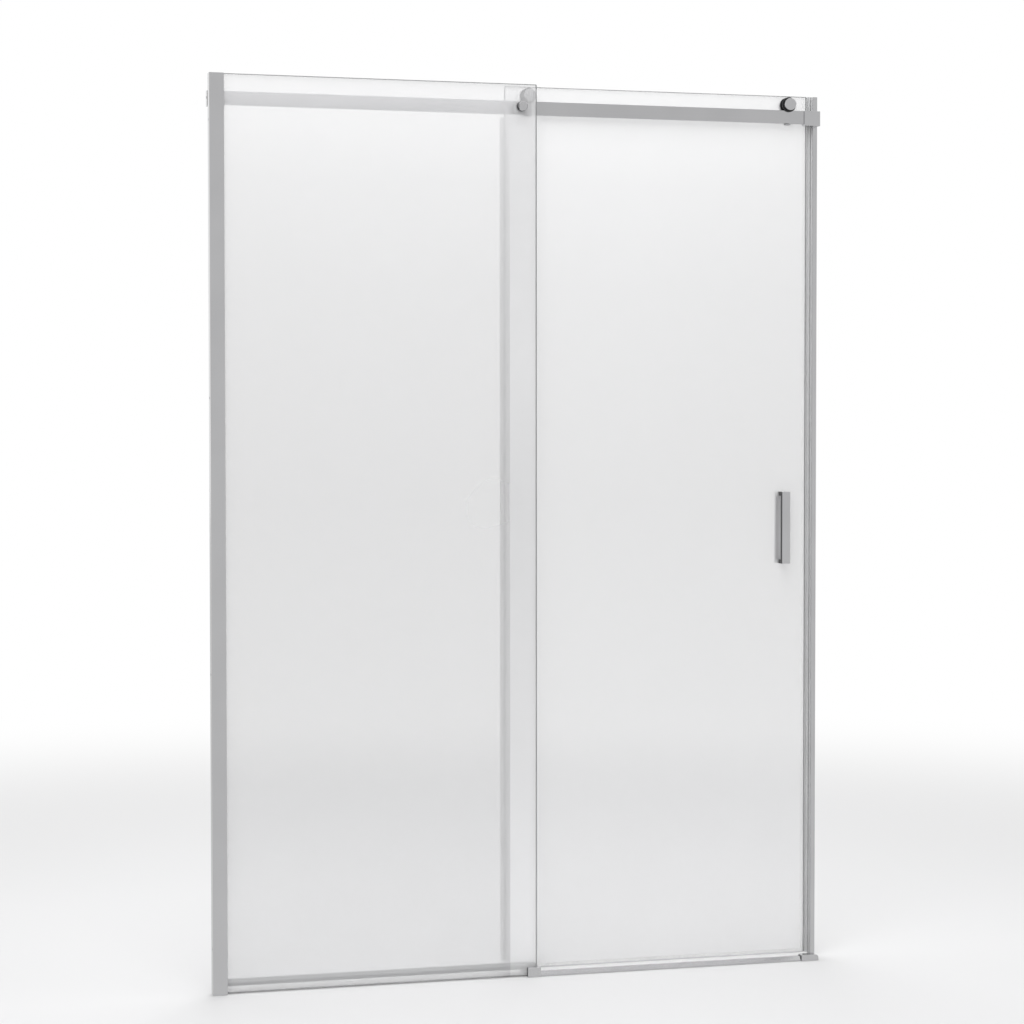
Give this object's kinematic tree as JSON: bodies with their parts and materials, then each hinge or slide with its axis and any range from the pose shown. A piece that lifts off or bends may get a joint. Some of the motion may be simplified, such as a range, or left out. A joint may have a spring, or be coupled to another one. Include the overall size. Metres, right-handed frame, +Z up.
{
  "type": "sliding shower door",
  "caption": "Niche shower door: a fixed satin glass pane with a chrome wall profile, and a second pane that rolls along a flat top rail behind it.",
  "frame": {"origin": "on the tray surface, at the middle of the door's width and of its whole depth", "axes": "+X along the door towards the closing side, +Y into the shower, +Z up"},
  "size_m": [1.42, 0.0844, 2],
  "materials": {
    "chrome": "polished",
    "satin_glass": "satin, evenly frosted",
    "steel": "bright machined",
    "dark_rubber": "matte",
    "clear_pvc": "smooth, translucent",
    "magnet_strip": "matte",
    "black_nylon": "matte",
    "white_nylon": "matte"
  },
  "bodies": {
    "frame": {"wall_profile": "chrome", "glazing_profile": "chrome", "top_rail": "chrome", "rail_bracket_left": "chrome", "rail_bracket_right": "chrome", "clamp_head": "chrome", "clamp_spacer": "chrome", "guide_block": "chrome", "threshold_strip": "chrome", "threshold_end_cap": "chrome", "strike_profile": "chrome", "fixed_glass": "satin_glass", "profile_screws": "steel", "bracket_grub_screws": "steel", "clamp_screw": "steel", "stop_screws": "steel", "glazing_gasket_front": "dark_rubber", "glazing_gasket_rear": "dark_rubber", "clamp_washer_front": "dark_rubber", "clamp_washer_rear": "dark_rubber", "stop_buffer_left": "dark_rubber", "stop_buffer_right": "dark_rubber", "sill_seal": "dark_rubber", "strike_holder": "clear_pvc", "sill_profile": "clear_pvc", "strike_magnet": "magnet_strip", "setting_block": "white_nylon", "clamp_sleeve": "white_nylon", "guide_liner": "white_nylon"},
    "panel": {"roller_cap_left": "chrome", "roller_cap_right": "chrome", "roller_nut_left": "chrome", "roller_nut_right": "chrome", "handle_outer": "chrome", "handle_inner": "chrome", "sliding_glass": "satin_glass", "lift_stop_left": "steel", "lift_stop_right": "steel", "handle_studs": "steel", "roller_axle_left": "steel", "roller_axle_right": "steel", "bearing_inner_ring_left": "steel", "bearing_inner_ring_right": "steel", "roller_gaskets_left": "dark_rubber", "roller_gaskets_right": "dark_rubber", "handle_gaskets": "dark_rubber", "overlap_seal": "clear_pvc", "magnet_seal": "clear_pvc", "drip_seal": "clear_pvc", "panel_magnet": "magnet_strip", "handle_sleeves": "white_nylon", "eccentric_bush_left": "white_nylon", "eccentric_bush_right": "white_nylon"},
    "wheel_left": {"bearing_outer_ring_left": "steel", "bearing_balls_left": "steel", "roller_wheel_left": "black_nylon"},
    "wheel_right": {"bearing_outer_ring_right": "steel", "bearing_balls_right": "steel", "roller_wheel_right": "black_nylon"}
  },
  "joints": [
    {"name": "panel_slide", "type": "slide", "parent": "frame", "child": "panel", "axis": [-1, 0, 0], "range_m": [0, 0.58]},
    {"name": "wheel_left_spin", "type": "hinge", "parent": "panel", "child": "wheel_left", "pos_m": [0.0125, 0.00225, 1.9786], "axis": [0, -1, 0], "continuous": true},
    {"name": "wheel_right_spin", "type": "hinge", "parent": "panel", "child": "wheel_right", "pos_m": [0.634, 0.00225, 1.9786], "axis": [0, -1, 0], "continuous": true}
  ],
  "couplings": [
    {"joint": "wheel_left_spin", "follows": "panel_slide", "rad_per_m": 78.125},
    {"joint": "wheel_right_spin", "follows": "panel_slide", "rad_per_m": 78.125}
  ]
}
